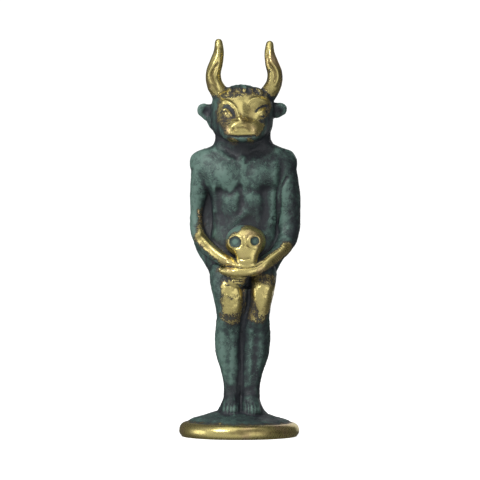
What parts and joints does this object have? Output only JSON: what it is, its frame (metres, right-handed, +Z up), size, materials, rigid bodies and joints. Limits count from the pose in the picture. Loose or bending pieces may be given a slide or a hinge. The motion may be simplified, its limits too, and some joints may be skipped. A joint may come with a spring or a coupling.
{
  "type": "minotaur statue",
  "caption": "Small cast statue of a bull-headed man standing upright on a round base, arms at his sides, holding a skull before him in cupped hands.",
  "frame": {"origin": "on the flat underside, under the centre of the round base", "axes": "+Z up along the figure's height, -Y towards the viewer, the way the face looks, +X to the viewer's right"},
  "size_m": [0.0366, 0.0362, 0.12],
  "materials": {
    "patinated_brass": "dark green patina, worn to bare polished brass on the face, horns, skull, forearms, hands, thighs and the rim of the base"
  },
  "bodies": {
    "root": {"minotaur": "patinated_brass"}
  },
  "joints": []
}
